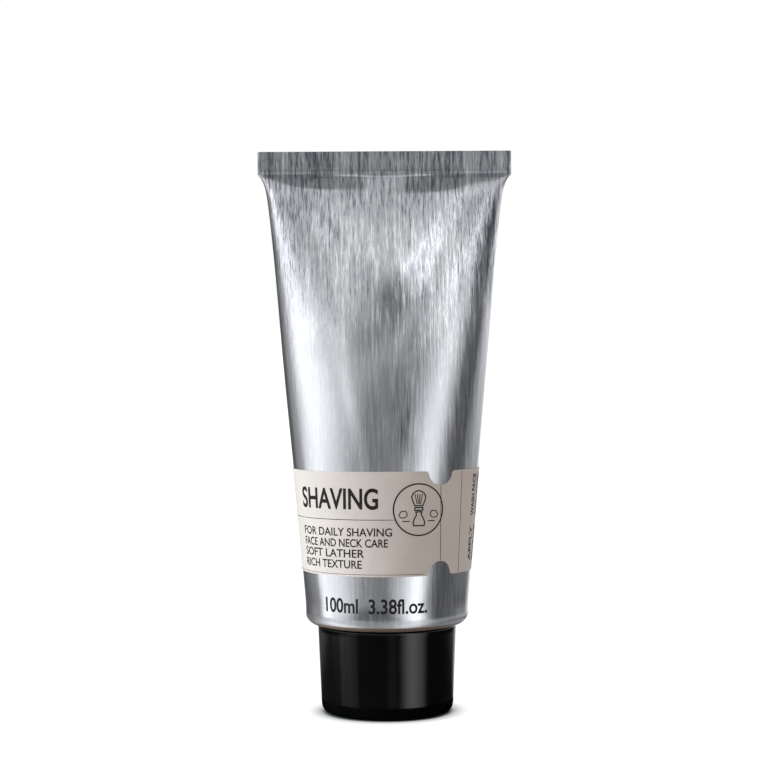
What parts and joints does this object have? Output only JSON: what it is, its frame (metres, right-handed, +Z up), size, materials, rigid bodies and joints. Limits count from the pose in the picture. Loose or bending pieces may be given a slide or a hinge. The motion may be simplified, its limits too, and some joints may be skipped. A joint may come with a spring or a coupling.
{
  "type": "shaving cream tube",
  "caption": "Squeeze tube of shaving cream with a flat sealed top, a wrap label and a screw cap that it stands on.",
  "frame": {"origin": "centre of the cap's flat end, which the tube stands on", "axes": "+Z up along the tube's axis, from the cap to the sealed top; +X along the flat seal; the front of the tube faces -Y"},
  "size_m": [0.0624, 0.04, 0.1381],
  "materials": {
    "brushed_laminate": "fine vertical brushing, satin, with a clear lacquer",
    "shoulder_plastic": "pinkish brown, moulded, satin",
    "barrier_laminate": "plain foil faced with plastic",
    "seal_foil": "bright foil, lightly creased",
    "cream": "thick white cream",
    "label_paper": "cream-coloured coated paper with dark brown print",
    "cap_gloss": "gloss black, smooth",
    "insert_plastic": "black, moulded, satin",
    "liner_foam": "white closed-cell foam"
  },
  "bodies": {
    "tube": {"tube_sleeve": "brushed_laminate", "shoulder_neck": "shoulder_plastic", "barrier_rondel": "barrier_laminate", "foil_seal": "seal_foil", "cream_fill": "cream", "wrap_label": "label_paper"},
    "cap_lift": {"cap_liner": "liner_foam"},
    "cap": {"cap_shell": "cap_gloss", "cap_thread_insert": "insert_plastic"}
  },
  "joints": [
    {"name": "cap_travel", "type": "slide", "parent": "tube", "child": "cap_lift", "axis": [0, 0, -1], "range_m": [0, 0.009]},
    {"name": "cap_turn", "type": "hinge", "parent": "cap_lift", "child": "cap", "pos_m": [0, 0, 0], "axis": [0, 0, -1], "range_deg": [0, 1080]}
  ],
  "couplings": [
    {"joint": "cap_travel", "follows": "cap_turn", "m_per_rad": 0.00047746}
  ]
}
